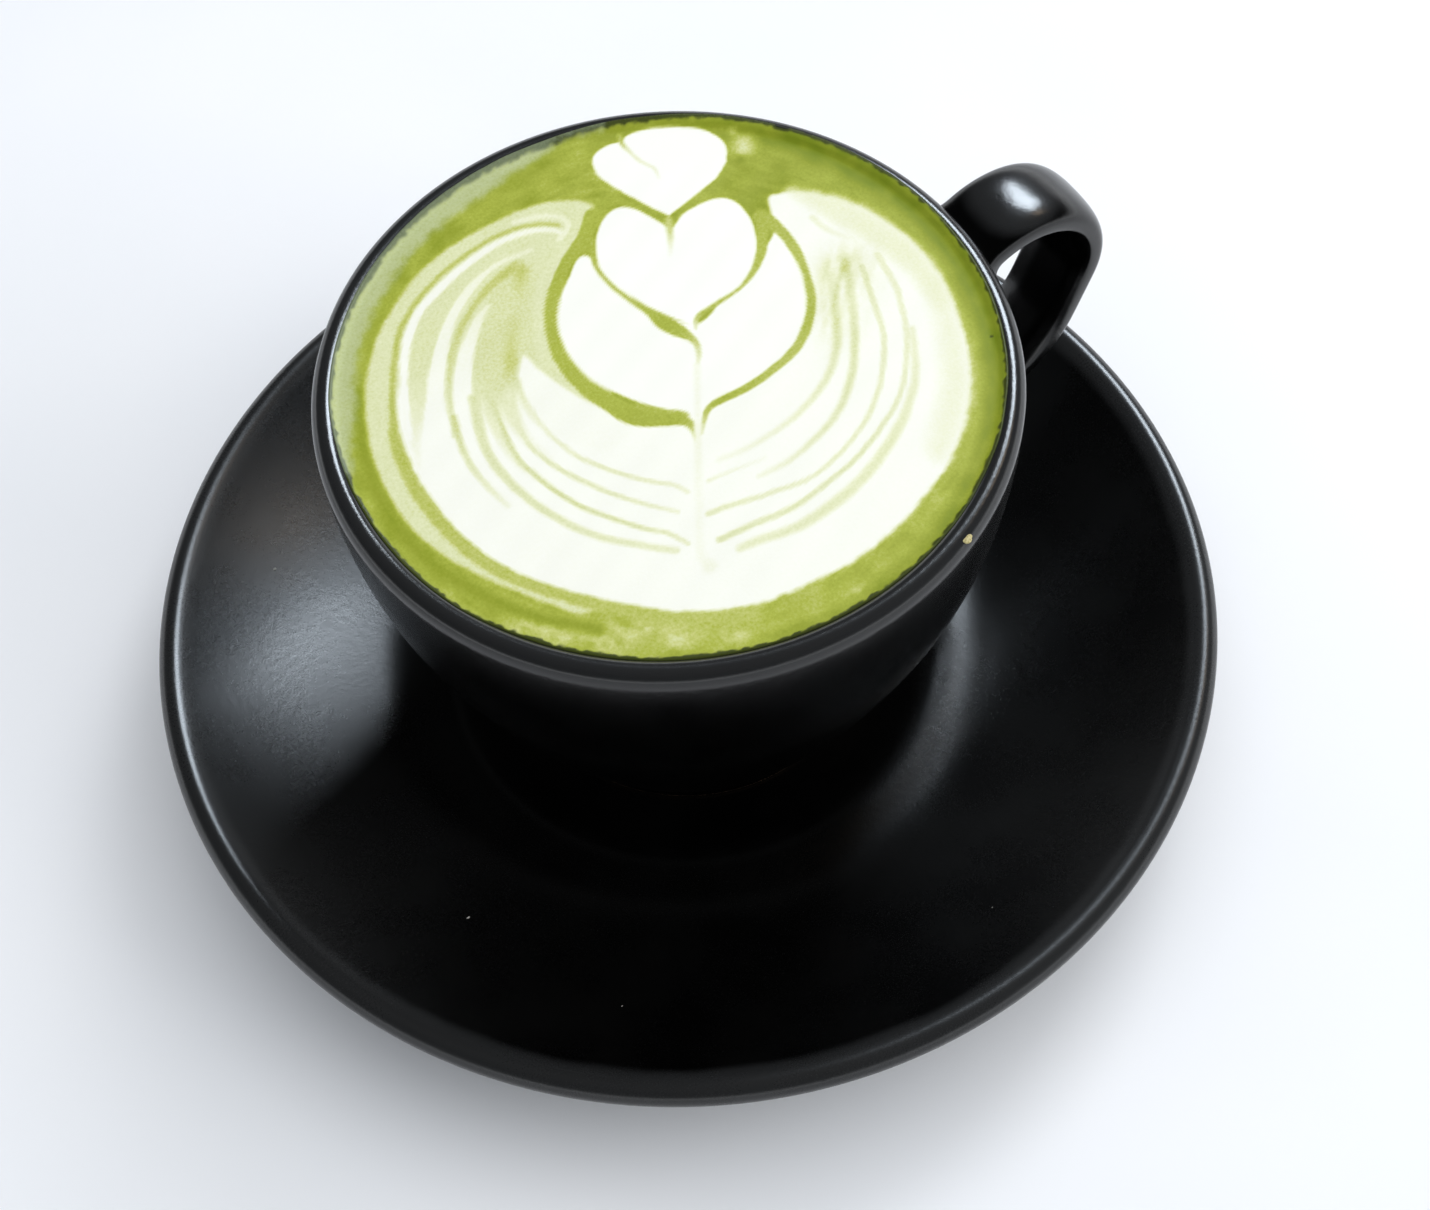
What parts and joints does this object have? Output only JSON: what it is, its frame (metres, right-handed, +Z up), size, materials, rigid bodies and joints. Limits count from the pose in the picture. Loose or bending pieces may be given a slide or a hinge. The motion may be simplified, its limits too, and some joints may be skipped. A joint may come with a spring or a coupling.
{
  "type": "matcha latte",
  "caption": "Matcha latte with poured leaf-shaped foam art, filled to the brim of a round black stoneware cup with a loop handle, standing on a dished saucer.",
  "frame": {"origin": "centre of the circle on which the saucer's foot ring stands", "axes": "+Z up along the axis of the cup and saucer, +X towards the cup's handle"},
  "size_m": [0.16, 0.16, 0.079],
  "materials": {
    "saucer_glaze": "satin black glaze",
    "cup_glaze": "satin black glaze",
    "drink": null
  },
  "bodies": {
    "root": {"saucer": "saucer_glaze", "cup": "cup_glaze", "drink": "drink"}
  },
  "joints": []
}
